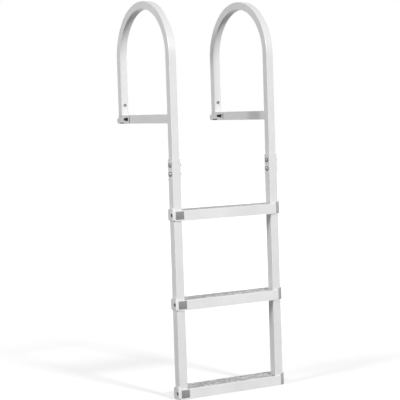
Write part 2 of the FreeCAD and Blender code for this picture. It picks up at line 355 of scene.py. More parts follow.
def rounded_rectangle(width, depth, radius, steps=6):
    """Closed outline, counterclockwise: four quarter circles of the radius round the inner corners.

    Each quarter has one more point on the flat beside either end, a support length away along the
    tangent, so that the flats are shaded flat.
    """
    turns = np.arange(4)[:, None] * TURN / 4 + np.linspace(0, TURN / 4, steps)
    turns = np.concatenate([turns[:, :1], turns, turns[:, -1:]], axis=1)
    aside = np.zeros(steps + 2)
    aside[0] = -SUPPORT
    aside[-1] = SUPPORT
    centres_x = np.array([1, -1, -1, 1])[:, None] * (width / 2 - radius)
    centres_y = np.array([1, 1, -1, -1])[:, None] * (depth / 2 - radius)
    x = centres_x + radius * np.cos(turns) - aside * np.sin(turns)
    y = centres_y + radius * np.sin(turns) + aside * np.cos(turns)
    return np.stack([x.ravel(), y.ravel()], axis=1)


def along(outline):
    """Distance round a closed outline, from its first point to each point and back to the first."""
    gaps = np.linalg.norm(np.roll(outline, -1, axis=0) - outline, axis=1)
    return np.concatenate([[0.0], np.cumsum(gaps)])


def carried(outline, centres, first, second):
    """Points of an outline carried along a path: centre + a * first axis + b * second axis."""
    return (centres[:, None, :] + outline[None, :, :1] * first[:, None, :]
            + outline[None, :, 1:] * second[:, None, :])


def hollow_sweep(name, width, depth, wall, centres, first, second, material):
    """Square tube: a rounded outline carried along a path, with its bore and its two cut ends.

    The skin has a seam column, so that its map runs once round the tube and along its length.
    """
    sizes = bpy.context.scene.ladder_tubes
    outer = rounded_rectangle(width, depth, sizes.corner)
    inner = rounded_rectangle(width - 2 * wall, depth - 2 * wall,
                              max(sizes.corner - wall, sizes.bore_corner))
    count = len(outer)
    seamed = np.vstack([outer, outer[:1]])
    skin = carried(seamed, centres, first, second)
    bore = carried(inner, centres, first, second)
    rows = len(centres)
    run = np.concatenate([[0.0], np.cumsum(np.linalg.norm(np.diff(centres, axis=0), axis=1))])
    skin_map = np.stack(np.meshgrid(along(outer), run), axis=-1).reshape(-1, 2)
    bore_map = np.stack(np.meshgrid(along(inner)[:-1], run), axis=-1).reshape(-1, 2)
    skin_faces = grid_faces(rows, count + 1, False)
    start = skin_faces.max() + 1
    bore_faces = grid_faces(rows, count, True)[:, ::-1] + start
    around = np.arange(count)
    ahead = (around + 1) % count
    ends = []
    for row, flip in ((0, 1), (rows - 1, -1)):
        out = row * (count + 1)
        into = start + row * count
        rim = np.stack([out + around, into + around, into + ahead, out + around + 1], axis=1)
        ends.append(rim[:, ::flip])
    points = np.vstack([skin.reshape(-1, 3), bore.reshape(-1, 3)])
    faces = np.vstack([skin_faces, bore_faces] + ends)
    return add_piece(name, points, faces, material,
                     np.vstack([skin_map, bore_map]))


def straight_tube(name, width, depth, wall, start, end, first, second, material):
    """Tube from a start to an end, with rows of points at both and halfway."""
    rows = 3
    steps = np.linspace(0, 1, rows)[:, None]
    centres = np.array(start) + steps * (np.array(end) - np.array(start))
    return hollow_sweep(name, width, depth, wall, centres, np.tile(first, (rows, 1)),
                        np.tile(second, (rows, 1)), material)


def even_angles(steps):
    """Angles round a circle, the first one 0."""
    return np.linspace(0, TURN, steps, endpoint=False)


def rings_about_z(pairs, angles):
    """Points at x = r cos a and y = r sin a: a ring for each pair of a radius and a height.

    The radius is one number, or one for each angle.
    """
    radii = np.array([radius * np.ones(len(angles)) for radius, _ in pairs])
    heights = np.array([height for _, height in pairs])
    z = np.repeat(heights[:, None], len(angles), axis=1)
    return np.stack([radii * np.cos(angles), radii * np.sin(angles), z], axis=-1)


def turned(profile, steps=48):
    """Surface of revolution about Z from pairs of a radius and a height."""
    return rings_about_z(profile, even_angles(steps))


def set_on(rings, base, direction):
    """Points of rings about Z, turned towards a direction and moved to a base."""
    turn = np.array(Vector((0, 0, 1)).rotation_difference(Vector(direction)).to_matrix())
    return rings.reshape(-1, 3) @ turn.T + np.array(base)


def capped_piece(name, rings, base, direction, material):
    """Closed fastener from rings of points, with a face over the first and over the last."""
    count, steps = rings.shape[:2]
    faces = grid_faces(count, steps, True).tolist()
    faces.append(list(range(steps))[::-1])
    faces.append(list(range((count - 1) * steps, count * steps)))
    return add_piece(name, set_on(rings, base, direction), faces, material)


def ring_piece(name, rings, base, direction, material):
    """Closed fastener with a hole, from rings of points of which the last joins the first."""
    rings = np.concatenate([rings, rings[:1]])
    count, steps = rings.shape[:2]
    return add_piece(name, set_on(rings, base, direction), grid_faces(count, steps, True),
                     material)


def hexagon_radius(across, angles):
    """Distance from the centre of a hexagon to its side in each direction."""
    return across / 2 / np.cos((angles + TURN / 12) % (TURN / 6) - TURN / 12)


# Finishes

def shader(name, base, metallic, roughness):
    """A material with its colour, metal share and roughness, and its node tools."""
    material = bpy.data.materials.new(name)
    material.use_nodes = True
    tree = material.node_tree
    surface = tree.nodes["Principled BSDF"]
    surface.inputs["Base Color"].default_value = (*base, 1.0)
    surface.inputs["Metallic"].default_value = metallic
    surface.inputs["Roughness"].default_value = roughness
    material.diffuse_color = (*base, 1.0)
    return material, tree, surface


def stretched_noise(tree, source, scale, detail, stretch):
    """Noise on Object or UV coordinates, stretched by a Mapping node."""
    place = tree.nodes.new("ShaderNodeTexCoord")
    mapping = tree.nodes.new("ShaderNodeMapping")
    mapping.inputs["Scale"].default_value = stretch
    noise = tree.nodes.new("ShaderNodeTexNoise")
    noise.inputs["Scale"].default_value = scale
    noise.inputs["Detail"].default_value = detail
    tree.links.new(place.outputs[source], mapping.inputs["Vector"])
    tree.links.new(mapping.outputs["Vector"], noise.inputs["Vector"])
    return noise.outputs["Fac"]


def between(tree, value, low, high, start=0.0, end=1.0):
    """A number that goes from low to high as a value goes from start to end."""
    ramp = tree.nodes.new("ShaderNodeMapRange")
    ramp.inputs["From Min"].default_value = start
    ramp.inputs["From Max"].default_value = end
    ramp.inputs["To Min"].default_value = low
    ramp.inputs["To Max"].default_value = high
    tree.links.new(value, ramp.inputs["Value"])
    return ramp.outputs["Result"]


def spread(tree, noise, low, high):
    """A number that goes from low to high over the middle of a noise's range."""
    return between(tree, noise, low, high, start=0.3, end=0.7)


def combined(tree, operation, first, second, clamp=False):
    """The sum, product or larger one of two values."""
    node = tree.nodes.new("ShaderNodeMath")
    node.operation = operation
    node.use_clamp = clamp
    tree.links.new(first, node.inputs[0])
    tree.links.new(second, node.inputs[1])
    return node.outputs["Value"]


def tinted(tree, surface, base, value, low, high):
    """The base colour varied in brightness by a noise value, from low to high times."""
    mix = tree.nodes.new("ShaderNodeMix")
    mix.data_type = "RGBA"
    mix.inputs["A"].default_value = (*[channel * low for channel in base], 1.0)
    mix.inputs["B"].default_value = (*[min(channel * high, 1.0) for channel in base], 1.0)
    tree.links.new(spread(tree, value, low=0.0, high=1.0), mix.inputs["Factor"])
    tree.links.new(mix.outputs["Result"], surface.inputs["Base Color"])


def raised(tree, surface, values, distances):
    """Bump from several height values, each with its own height in metres."""
    last = None
    for value, distance in zip(values, distances):
        bump = tree.nodes.new("ShaderNodeBump")
        bump.inputs["Strength"].default_value = 0.6
        bump.inputs["Distance"].default_value = distance
        tree.links.new(value, bump.inputs["Height"])
        if last is not None:
            tree.links.new(last, bump.inputs["Normal"])
        last = bump.outputs["Normal"]
    tree.links.new(last, surface.inputs["Normal"])


def drawn_aluminium(name, base, source, across):
    """Satin extrusion: die lines along the piece, a cloudy oxide layer and faint scuffs.

    across is the Mapping scale: large across the extrusion and small along it.
    """
    material, tree, surface = shader(name, base, metallic=0.11, roughness=0.38)
    lines = stretched_noise(tree, source, scale=1.0, detail=6.0, stretch=across)
    clouds = stretched_noise(tree, source, scale=9.0, detail=3.0, stretch=EVEN)
    scuffs = stretched_noise(tree, source, scale=160.0, detail=4.0, stretch=(1.0, 0.25, 1.0))
    tinted(tree, surface, base, clouds, low=0.955, high=1.035)
    roughness = combined(tree, "ADD", spread(tree, lines, low=0.26, high=0.40),
                         spread(tree, scuffs, low=-0.03, high=0.06))
    tree.links.new(roughness, surface.inputs["Roughness"])
    raised(tree, surface, (lines, scuffs), (0.00006, 0.00004))
    return material


def paint_groove_shade(material, dark):
    """Paints shade into the grooves and cuts of the tread, and a little onto the rib tops, by the
    piece's own share, unevenly in blotches.
    """
    tree = material.node_tree
    surface = tree.nodes["Principled BSDF"]
    plain = surface.inputs["Base Color"].links[0].from_socket
    tread = tree.nodes.new("ShaderNodeAttribute")
    tread.attribute_name = "tread"
    blotches = stretched_noise(tree, "Object", scale=105.0, detail=2.0, stretch=(1.0, 0.55, 1.0))
    # how much of the painted groove shade each blotch gets
    uneven_shade = spread(tree, blotches, low=0.15, high=1.6)
    amount = combined(tree, "MULTIPLY", tread.outputs["Fac"], uneven_shade, clamp=True)
    mix = tree.nodes.new("ShaderNodeMix")
    mix.data_type = "RGBA"
    mix.inputs["B"].default_value = (*dark, 1.0)
    tree.links.new(amount, mix.inputs["Factor"])
    tree.links.new(plain, mix.inputs["A"])
    tree.links.new(mix.outputs["Result"], surface.inputs["Base Color"])
    return material


def grained(name, base, metallic, roughness, grain, height):
    """Moulded or cast surface: fine grain bump and a slight change of colour."""
    material, tree, surface = shader(name, base, metallic, roughness)
    fine = stretched_noise(tree, "Object", scale=grain, detail=5.0, stretch=EVEN)
    broad = stretched_noise(tree, "Object", scale=40.0, detail=3.0, stretch=EVEN)
    tinted(tree, surface, base, broad, low=0.92, high=1.07)
    tree.links.new(spread(tree, fine, low=roughness - 0.07, high=roughness + 0.08),
                   surface.inputs["Roughness"])
    raised(tree, surface, (fine,), (height,))
    return material


# For each grained finish: its colour, metal share, roughness, grain scale and grain height
GRAINED = {
    "Cast foot": ("casting", 0.2, 0.5, 700.0, 0.0001),
    # one cap plastic, painted lit on the left and painted shaded on the right
    "Left cap plastic": ("left_cap", 0.0, 0.48, 1500.0, 0.00005),
    "Right cap plastic": ("right_cap", 0.0, 0.48, 1500.0, 0.00005),
    "Inlay plastic": ("inlay", 0.0, 0.5, 1100.0, 0.00008),
    "Foot rubber": ("rubber", 0.0, 0.7, 900.0, 0.0001),
    # painted shade for the inside of the foot blocks' groove and slot
    "Dark recess": ("recess", 0.0, 0.6, 700.0, 0.0001),
    # dark tone as painted reflection on the shiny bolt and leg screw heads
    "Bolt steel": ("steel", 0.7, 0.22, 1200.0, 0.00001),
    "Nut steel": ("nut_steel", 0.4, 0.35, 1200.0, 0.00001),
    "Dark steel": ("dark_steel", 0.6, 0.4, 1200.0, 0.00002),
}


def finish(name):
    """The named finish, made once."""
    made = bpy.data.materials.get(name)
    if made is not None:
        return made
    tones = bpy.context.scene.ladder_finish
    if name == "Drawn tube":
        return drawn_aluminium(name, tuple(tones.rail), "UV", (900.0, 6.0, 1.0))
    if name == "Drawn step":
        drawn = drawn_aluminium(name, tuple(tones.step), "Object", (6.0, 900.0, 900.0))
        # the step's aluminium with painted shade in the tread's grooves and cuts
        return paint_groove_shade(drawn, tuple(tones.groove))
    tone, metallic, roughness, grain, height = GRAINED[name]
    return grained(name, tuple(getattr(tones, tone)), metallic, roughness, grain, height)


# Pieces

class LADDER_OT_handrails(bpy.types.Operator):
    """Bend the two hoops from rounded square tube"""
    bl_idname = "ladder.handrails"
    bl_label = "Handrails"

    def execute(self, context):
        """Path: up the front leg, over a half circle, down the back leg, in the YZ plane."""
        angles = np.linspace(math.pi, 0, BEND_POINTS)
        bend_y = BEND_CENTRE_Y + BEND_RADIUS * np.cos(angles)
        bend_z = BEND_Z + BEND_RADIUS * np.sin(angles)
        y = np.concatenate([[FRONT_LEG_Y], bend_y, [BACK_LEG_Y]])
        z = np.concatenate([[HOOP_LOW[2]], bend_z, [BAR_TOP]])
        out_y = np.concatenate([[-1.0], np.cos(angles), [1.0]])
        out_z = np.concatenate([[0.0], np.sin(angles), [0.0]])
        zero = np.zeros(len(y))
        across = np.stack([zero - 1, zero, zero], axis=1)
        outward = np.stack([zero, out_y, out_z], axis=1)
        for side in SIDES:
            centres = np.stack([zero + RAIL_X[side], y, z], axis=1)
            hoop = hollow_sweep(side + "_hoop", HANDRAIL_SIDE, HANDRAIL_SIDE,
                                context.scene.ladder_tubes.handrail_wall, centres, across,
                                outward, finish("Drawn tube"))
            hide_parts(side + "_handrail")
        return {"FINISHED"}


class LADDER_OT_side_rails(bpy.types.Operator):
    """Draw the two lower side rails"""
    bl_idname = "ladder.side_rails"
    bl_label = "Side rails"

    def execute(self, context):
        for side in SIDES:
            low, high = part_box(side + "_side_rail")
            rail = straight_tube(side + "_lower_tube", RAIL_SIDE, RAIL_SIDE,
                                 context.scene.ladder_tubes.rail_wall,
                                 (RAIL_X[side], FRONT_LEG_Y, low[2]),
                                 (RAIL_X[side], FRONT_LEG_Y, high[2]),
                                 (1, 0, 0), (0, 1, 0), finish("Drawn tube"))
            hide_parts(side + "_side_rail")
        return {"FINISHED"}


class LADDER_OT_deck_bars(bpy.types.Operator):
    """Draw the two bars that lie along the foot of the hoops"""
    bl_idname = "ladder.deck_bars"
    bl_label = "Deck bars"

    def execute(self, context):
        for side in SIDES:
            node = side + "_deck_bar"
            low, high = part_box(node)
            x, _, z = middle(node)
            bar = straight_tube(side + "_foot_bar", high[0] - low[0], high[2] - low[2],
                                context.scene.ladder_tubes.bar_wall, (x, low[1], z),
                                (x, high[1], z), (-1, 0, 0), (0, 0, 1), finish("Drawn tube"))
            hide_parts(node)
        return {"FINISHED"}


# Places on the treads, in groove pitches where no other unit is named
FIRST_RIB = -0.45    # start of the ribs, from the start of the first groove
LAST_RIB = -0.2    # end of the ribs, from the end of the last groove's pitch
GROUP_START = 0.25    # from the start of a group of ribs to its first groove
FIRST_LINE = 0.0025    # from the first line of points on the ribs to the first groove, in metres
GROOVE_POINTS = 5    # points across a groove
EDGE_POINTS = 6    # points round a top edge
PER_TOOTH = 8    # stations to a tooth
TOP_SHARE = 0.2    # share of painted groove shade on the tops of the ribs; the bottoms of the grooves have 1


def tread_heights(depths, stations, sizes):
    """Height of the tread under its top at each (station, depth), as a grid.

    V-shaped grooves run along the step: depth * (1 - |2 u - 1|) across each groove. Rounded cuts
    cross the ribs between them: depth * |sin| ** 3 of the distance along the step, moved on by
    half a tooth from each group of ribs to the next.
    """
    across = (depths - sizes.groove_start) / sizes.groove_pitch
    inside = (across > 0) & (across < sizes.groove_count)
    into = (across % 1.0) * sizes.groove_pitch / sizes.groove_width
    groove = np.where(inside & (into < 1), sizes.groove_depth * (1 - np.abs(2 * into - 1)), 0.0)
    ribbed = np.where((across > FIRST_RIB) & (across < sizes.groove_count + LAST_RIB), 1.0, 0.0)
    shift = np.floor((across + GROUP_START) / sizes.rib_group) / 2
    turns = np.pi * (stations[:, None] / sizes.tooth_pitch + shift[None, :])
    cuts = sizes.tooth_depth * np.abs(np.sin(turns)) ** 3
    return np.maximum(groove[None, :], ribbed[None, :] * cuts)


def underside(sizes, depth):
    """Height of the underside above its lowest line, at a depth behind the front face."""
    slope = (STEP_HEIGHT - sizes.rear) / (STEP_DEPTH - sizes.flat)
    return max(0.0, depth - sizes.flat) * slope


IN_POCKET = slice(-4, -1)    # points of a step's ring that are moved back for the panel
TWINS = (-4, -2)    # those of them that lie on the pocket's outer corners until then


def step_ring(sizes, pocket, cut):
    """Outline of a step in the YZ plane, front at y = 0 and underside at z = 0, and its top part.

    It runs round the front edge, back along the top, round the rear edge, down the rear, forward
    along the underside and up the front. The last five points make the pocket for the panel: its
    two outer corners, and between them three that IN_POCKET numbers, which are moved back there.
    """
    edge = sizes.edge
    quarter = np.linspace(0, TURN / 4, EDGE_POINTS)
    front = np.stack([edge - edge * np.cos(quarter),
                      STEP_HEIGHT - edge + edge * np.sin(quarter)], 1)
    rear = np.stack([STEP_DEPTH - edge + edge * np.sin(quarter),
                     STEP_HEIGHT - edge + edge * np.cos(quarter)], 1)
    grooved = sizes.groove_start + np.arange(sizes.groove_count)[:, None] * sizes.groove_pitch
    ticks = np.linspace(0, 1, GROOVE_POINTS) * sizes.groove_width
    mids = grooved + (sizes.groove_width + sizes.groove_pitch) / 2
    top_y = np.sort(np.concatenate([[edge + SUPPORT, sizes.front_wall,
                                     sizes.groove_start - FIRST_LINE, cut],
                                    (grooved + ticks).ravel(), mids[:-1].ravel(),
                                    [grooved[-1, 0] + sizes.groove_pitch]]))
    top = np.stack([top_y, np.full(len(top_y), STEP_HEIGHT)], 1)
    under = np.array([[STEP_DEPTH, STEP_HEIGHT - sizes.rear], [cut, underside(sizes, cut)],
                      [sizes.flat, 0.0], [sizes.front_wall, 0.0], [0.0, 0.0], [0.0, pocket[0]],
                      [0.0, pocket[0]], [0.0, pocket[1] - SUPPORT], [0.0, pocket[1]],
                      [0.0, pocket[1]]])
    ring = np.vstack([front, top, rear, under])
    number = np.arange(len(ring))
    return ring, (number >= len(front)) & (number < len(front) + len(top))


def step_cells(sizes, cut):
    """Outlines of a step's three hollows: back along the floor and forward along the ceiling."""
    half = sizes.wall / 2
    webs = (sizes.front_web, sizes.front_web + sizes.web_pitch)
    stops = [(sizes.front_wall + sizes.notch, webs[0] - half), (webs[0] + half, webs[1] - half),
             (webs[1] + half, STEP_DEPTH - sizes.wall)]
    cells = []
    for y0, y1 in stops:
        floor = [y0] + [y for y in (sizes.flat, cut) if y0 < y < y1] + [y1]
        ceiling = [y1] + [y for y in (cut,) if y0 < y < y1] + [y0]
        cells.append(np.array([(y, underside(sizes, y) + sizes.wall) for y in floor]
                              + [(y, STEP_HEIGHT - sizes.top_wall) for y in ceiling]))
    return cells


def lofted(outline, stations):
    """The outline at each station along X."""
    skin = np.empty((len(stations), len(outline), 3))
    skin[:, :, 0] = np.array(stations)[:, None]
    skin[:, :, 1:] = outline
    return skin


def tread_loft(outline, is_top, stations, start, sizes):
    """The outline at each station, its top lowered by the tread's pattern, and the tread share: how
    much painted shade each point gets.
    """
    skin = lofted(outline, stations)
    drop = np.where(is_top, tread_heights(outline[:, 0], stations - start, sizes), 0.0)
    skin[:, :, 2] -= drop
    share_of_depth = drop / sizes.groove_depth
    return skin, np.where(is_top, TOP_SHARE + (1 - TOP_SHARE) * share_of_depth, 0.0)


def stations_between(start, end, sizes):
    """Places along X, as many to each tooth."""
    teeth = int(round((end - start) / sizes.tooth_pitch))
    return np.linspace(start, end, teeth * PER_TOOTH + 1)


class Patches:
    """Points, faces and tread shares of several patches, put end to end."""

    def __init__(self):
        self.points = []
        self.faces = []
        self.shares = []
        self.total = 0

    def grid(self, skin, closed=True, shares=None):
        """A grid of points, closed round its rows where the outline is."""
        rows, columns = skin.shape[:2]
        self.add(skin.reshape(-1, 3), grid_faces(rows, columns, closed), shares)

    def flat(self, x, outline, *holes):
        """Triangles over an outline with holes, in the plane at x."""
        loops = [[Vector((y, z, 0.0)) for y, z in ring] for ring in (outline,) + holes]
        points = lofted(np.vstack((outline,) + holes), (x,))
        self.add(points.reshape(-1, 3), np.array(tessellate_polygon(loops)))

    def add(self, points, faces, shares=None):
        """Points with faces numbered from the first of them."""
        self.points.append(points)
        self.faces += (faces + self.total).tolist()
        self.shares.append(np.zeros(len(points)) if shares is None else shares.ravel())
        self.total += len(points)


def step_mesh(sizes, inner_x, panel):
    """Points, faces and tread shares of one step.

    The ring is carried along X between the side rails, with a toothed tread, three hollows and a
    pocket for the panel. In front of the rails the front wall alone runs on, and behind the right
    rail the rear part of the ring does. Two stations share the place of each end of the pocket,
    so that its side walls are upright. Points that two patches share become one in the piece.
    """
    (low_x, high_x), depth, heights = panel
    left, right = inner_x
    cut = RAIL_BACK_Y + sizes.notch - STEP_FRONT_Y
    ring, is_top = step_ring(sizes, heights, cut)
    cells = step_cells(sizes, cut)
    plain = stations_between(left, right, sizes)
    stations = np.concatenate([plain[plain < high_x], [high_x, high_x], plain[plain > high_x]])
    sunk = np.where(np.arange(len(stations)) <= np.sum(plain < high_x), depth, 0.0)
    patches = Patches()
    skin, shares = tread_loft(ring, is_top, stations, left, sizes)
    skin[:, IN_POCKET, 1] += sunk[:, None]
    patches.grid(skin, shares=shares)
    for cell, end in zip(cells, (right, right, STEP_X[1])):
        patches.grid(lofted(cell, (left, end)))

    behind = ring[:, 0] >= sizes.front_wall - MERGE
    patches.flat(left, skin[0, behind, 1:], *cells)

    beside = behind & (ring[:, 0] <= cut + MERGE)
    middle_cell = cells[1]
    opened = np.roll(middle_cell[middle_cell[:, 0] <= cut + MERGE], 2, axis=0)
    outline = np.vstack([skin[-1, beside & is_top, 1:], opened, skin[-1, beside & ~is_top, 1:]])
    patches.flat(right, outline, cells[0])

    rear = ring[:, 0] >= cut - MERGE
    opened = middle_cell[middle_cell[:, 0] >= cut - MERGE]
    outline = np.vstack([ring[rear], opened])
    rear_top = np.concatenate([is_top[rear], np.zeros(len(opened), dtype=bool)])
    stations = stations_between(right, STEP_X[1], sizes)
    skin, shares = tread_loft(outline, rear_top, stations, left, sizes)
    patches.grid(skin, shares=shares)
    patches.flat(STEP_X[1], skin[-1, :, 1:], cells[2])

    front = ring[ring[:, 0] <= sizes.front_wall + MERGE]
    for places, sunk in (((left, low_x, low_x, STEP_X[0]), (depth, depth, 0.0, 0.0)),
                         ((right, CAP_RETURN_X - sizes.notch), (0.0, 0.0))):
        strip = lofted(front, places)
        strip[:, IN_POCKET, 1] += np.array(sunk)[:, None]
        patches.grid(strip)
        patches.flat(places[-1], np.delete(front, TWINS, axis=0))
    return np.vstack(patches.points), patches.faces, np.concatenate(patches.shares)


class LADDER_OT_steps(bpy.types.Operator):
    """Extrude the three hollow steps with their toothed ribs"""
    bl_idname = "ladder.steps"
    bl_label = "Steps"

    def execute(self, context):
        sizes = context.scene.ladder_steps
        inside = RAIL_SIDE / 2 + sizes.notch
        inner_x = (RAIL_X["left"] + inside, RAIL_X["right"] - inside)
        low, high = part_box("top_step_inlay")
        heights = (low[2] - STEP_LOW["top"], high[2] - STEP_LOW["top"])
        panel = ((low[0], high[0]), high[1] - STEP_FRONT_Y, heights)
        points, faces, shares = step_mesh(sizes, inner_x, panel)
        for level in LEVELS:
            place = np.array([0.0, STEP_FRONT_Y, STEP_LOW[level]])
            step = add_piece(level + "_tread", points + place, faces, finish("Drawn step"),
                             tread=shares)
            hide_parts(level + "_step")
        return {"FINISHED"}


class LADDER_OT_inlays(bpy.types.Operator):
    """Set the dark square panels into the steps"""
    bl_idname = "ladder.inlays"
    bl_label = "Step panels"

    def execute(self, context):
        rounding = context.scene.ladder_edges.panel
        for level in LEVELS:
            softened_copy(level + "_step_inlay", finish("Inlay plastic"), rounding)
        return {"FINISHED"}


class LADDER_OT_end_caps(bpy.types.Operator):
    """Round the edges of the six end caps"""
    bl_idname = "ladder.end_caps"
    bl_label = "End caps"

    def execute(self, context):
        rounding = context.scene.ladder_edges.cap
        for side in SIDES:
            # left caps get the painted-lit copy of the plastic, right caps the painted-shaded copy
            plastic = finish(side.capitalize() + " cap plastic")
            for level in LEVELS:
                softened_copy(f"{side}_{level}_end_cap", plastic, rounding)
        return {"FINISHED"}


def paint_recess_shade(piece, boxes):
    """Paints shade onto the faces of a piece whose centres lie in any of some boxes, with a
    near-black finish.
    """
    mesh = piece.data
    mesh.materials.append(finish("Dark recess"))
    centres = np.empty(len(mesh.polygons) * 3)
    mesh.polygons.foreach_get("center", centres)
    centres = centres.reshape(-1, 3)
    inside = np.zeros(len(centres), dtype=bool)
    for low, high in boxes:
        inside |= np.all((centres > low) & (centres < high), axis=1)
    mesh.polygons.foreach_set("material_index", inside.astype(np.int32))


class LADDER_OT_feet(bpy.types.Operator):
    """Finish the cast foot blocks, their rubber pads and the plugs of the side rails"""
    bl_idname = "ladder.feet"
    bl_label = "Feet and plugs"

    def execute(self, context):
        sizes = context.scene.ladder_feet
        edges = context.scene.ladder_edges
        reach = HANDRAIL_SIDE / 2 - sizes.side_margin
        for side in SIDES:
            block = softened_copy(side + "_foot_block", finish("Cast foot"),
                                  edges.block)
            bar_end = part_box(side + "_deck_bar")[1][1]
            boxes = []
            # Painted shade: the groove beside the deck bar and the slot through the block get the
            # near-black finish.
            for start, end in ((0.0, sizes.reveal), (sizes.slot_front, sizes.slot_end)):
                low = (RAIL_X[side] - reach, bar_end + start - sizes.end_margin, sizes.shade_low)
                high = (RAIL_X[side] + reach, bar_end + end + sizes.end_margin, sizes.shade_high)
                boxes.append((low, high))
            paint_recess_shade(block, boxes)
            softened_copy(side + "_foot_pad", finish("Foot rubber"), edges.pad)
            # the rail plugs get the painted-shaded copy of the cap plastic
            softened_copy(side + "_rail_plug", finish("Right cap plastic"),
                          edges.plug)
        return {"FINISHED"}


# Shapes of the fasteners, as shares of their sizes where no unit is named
DOME_START = 0.02    # first ring of a domed head, on the way from its pole to its rim
DOME_RINGS = 14
NUT_FACE = 0.98    # radius of the end faces of a nut, for half its width
NUT_SLOPE = 0.6    # rise of its chamfers for each length outward
PAST_CORNER = 1.1    # reach of the chamfers, for the length from its flats to its corners
CURVE_POINTS = 5    # points over a chamfer of a nut or round the edge of a screw head
WASHER_EDGE = 0.25    # broken edge of a washer, for its height
HEAD_EDGE = 0.35    # rounded edge of a screw head, for its height
SOCKET_FLOOR = 0.35    # height of the bottom of its socket, for its own
SOCKET_MOUTH = 1.06    # width of the socket's mouth, for its own
SOCKET_BREAK = 0.0002    # depth of that mouth, in metres


def domed_bolt(node, sizes):
    """Bolt along X: a spherical cap of the head's width and height on a short rim, and a shank."""
    low, high = (np.array(corner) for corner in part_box(node))
    head = (high[1] - low[1]) / 2
    centre = (low + high) / 2
    rail_face = RAIL_X[node.split("_")[0]] - RAIL_SIDE / 2
    rise = rail_face - low[0]
    crown = rise - sizes.dome_rim
    sphere = (head ** 2 + crown ** 2) / (2 * crown)
    reach = np.linspace(DOME_START, 1.0, DOME_RINGS) * math.asin(head / sphere)
    dome = np.stack([sphere * np.sin(reach), rise - sphere * (1 - np.cos(reach))], axis=1)
    shank = head / 2
    end = rail_face - high[0]
    edge = sizes.shank_edge
    tail = np.array([[head, 0.0], [shank, 0.0], [shank, end + edge], [shank - edge, end]])
    return np.vstack([dome, tail]), (rail_face, centre[1], centre[2])


def nut_rings(across, height, bore, steps=72):
    """Hexagon nut: the smaller of a hexagon and a cone at each height, with a round bore."""
    angles = even_angles(steps)
    flats = hexagon_radius(across, angles)
    widening = (across / math.sqrt(3) - across / 2) * PAST_CORNER
    rings = []
    for rise in np.linspace(0, 1, CURVE_POINTS) * widening * NUT_SLOPE:
        cone = across / 2 * NUT_FACE + rise / NUT_SLOPE
        rings.append((np.minimum(flats, cone), rise))
    rings += [(radius, height - rise) for radius, rise in reversed(rings)]
    return rings_about_z([(bore, 0.0)] + rings + [(bore, height)], angles)


def washer_profile(outer, bore, height):
    """Closed profile of a washer with slightly broken edges."""
    edge = height * WASHER_EDGE
    return np.array([[bore, 0.0], [outer - edge, 0.0], [outer, edge], [outer, height - edge],
                     [outer - edge, height], [bore, height]])


class LADDER_OT_joint_bolts(bpy.types.Operator):
    """Turn the domed bolts, nuts and washers of the telescoping joints"""
    bl_idname = "ladder.joint_bolts"
    bl_label = "Joint bolts"

    def execute(self, context):
        sizes = context.scene.ladder_fasteners
        # bolt heads: dark steel as painted reflection
        steel = finish("Bolt steel")
        bright = finish("Nut steel")
        for side in SIDES:
            for level in JOINTS:
                name = f"{side}_{level}_joint"
                profile, base = domed_bolt(name + "_bolt", sizes)
                bolt = capped_piece(name + "_round_bolt", turned(profile), base, (-1, 0, 0), steel)
                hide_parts(name + "_bolt")
                size = extent(name + "_nut")
                face = RAIL_X[side] + RAIL_SIDE / 2
                across = min(size[1], size[2])
                bore = across * sizes.nut_bore
                rings = nut_rings(across, size[0] - sizes.washer_height, bore)
                seat = (face + sizes.washer_height, base[1], base[2])
                nut = ring_piece(name + "_hex_nut", rings, seat, (1, 0, 0), bright)
                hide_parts(name + "_nut")
                profile = washer_profile(sizes.washer / 2, bore, sizes.washer_height)
                ring_piece(name + "_washer", turned(profile), (face, base[1], base[2]),
                           (1, 0, 0), bright)
        return {"FINISHED"}


def socket_screw(radius, height, across, steps=72):
    """Low round head with a rounded edge and a hexagon socket sunk into its top, as rings."""
    angles = even_angles(steps)
    flats = hexagon_radius(across, angles)
    edge = height * HEAD_EDGE
    rings = [(radius, 0.0)]
    rings += [(radius - edge + edge * math.cos(a), height - edge + edge * math.sin(a))
              for a in np.linspace(0, TURN / 4, CURVE_POINTS)]
    rings += [(flats * SOCKET_MOUTH, height), (flats, height - SOCKET_BREAK),
              (flats, height * SOCKET_FLOOR)]
    return rings_about_z(rings, angles)


class LADDER_OT_cap_screws(bpy.types.Operator):
    """Set a socket screw into the recess of each end cap"""
    bl_idname = "ladder.cap_screws"
    bl_label = "Cap screws"

    def execute(self, context):
        sizes = context.scene.ladder_fasteners
        rings = socket_screw(sizes.socket_head / 2, sizes.socket_height, sizes.socket)
        seat = RAIL_SIDE / 2 + sizes.socket_seat
        for side in SIDES:
            out = OUTWARD[side]
            for level in LEVELS:
                base = (RAIL_X[side] + out * seat, FRONT_LEG_Y - sizes.socket_forward,
                        STEP_LOW[level] + sizes.socket_rise)
                capped_piece(f"{side}_{level}_cap_screw", rings, base, (out, 0, 0),
                             finish("Dark steel"))
        return {"FINISHED"}


class LADDER_OT_leg_screws(bpy.types.Operator):
    """Set a round-headed screw into the front of each back leg"""
    bl_idname = "ladder.leg_screws"
    bl_label = "Leg screws"

    def execute(self, context):
        sizes = context.scene.ladder_fasteners
        rings = socket_screw(sizes.leg_head / 2, sizes.leg_height,
                             sizes.leg_head * sizes.leg_socket)
        for side in SIDES:
            base = (RAIL_X[side], BACK_LEG_Y - HANDRAIL_SIDE / 2, BAR_TOP + sizes.leg_rise)
            # leg screws share the bolts' steel with its painted dark reflection
            capped_piece(side + "_leg_screw", rings, base, (0, -1, 0), finish("Bolt steel"))
        return {"FINISHED"}


# Stage

def seen_directly(tree):
    """1 for camera, mirror and transmission rays, 0 for the light that falls on the object."""
    ray = tree.nodes.new("ShaderNodeLightPath")
    value = ray.outputs["Is Camera Ray"]
    for name in ("Is Glossy Ray", "Is Transmission Ray"):
        value = combined(tree, "MAXIMUM", value, ray.outputs[name])
    return value


